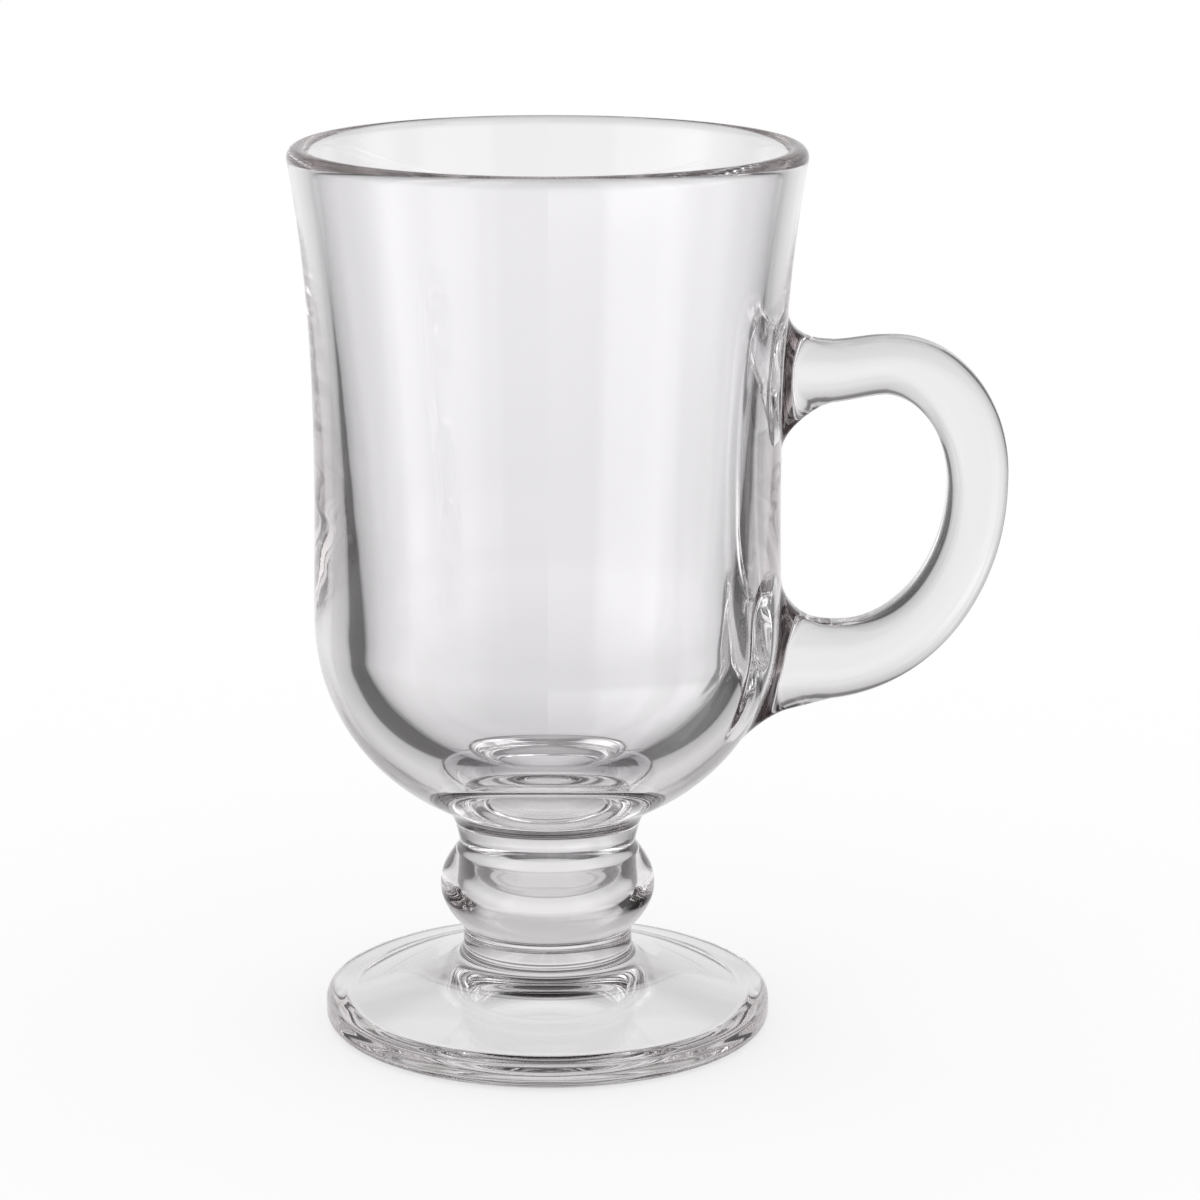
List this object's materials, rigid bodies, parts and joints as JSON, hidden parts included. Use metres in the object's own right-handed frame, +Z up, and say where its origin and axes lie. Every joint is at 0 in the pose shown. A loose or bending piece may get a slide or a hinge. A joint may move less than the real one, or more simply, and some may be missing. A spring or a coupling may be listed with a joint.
{
  "type": "footed glass mug",
  "caption": "Clear glass mug for layered or spiked coffee: flared thick-walled bowl on a knopped stem and a disc foot, with a flat D-shaped side handle.",
  "frame": {"origin": "on the bowl's axis, in the plane of the ring that the glass stands on", "axes": "+Z up the bowl's axis, +X towards the handle, +Y across the handle's flat faces"},
  "size_m": [0.1114, 0.0798, 0.14],
  "materials": {
    "clear_glass": "clear, fire-polished, very slightly grey"
  },
  "bodies": {
    "root": {"bowl": "clear_glass", "stem": "clear_glass", "foot": "clear_glass", "handle": "clear_glass"}
  },
  "joints": []
}
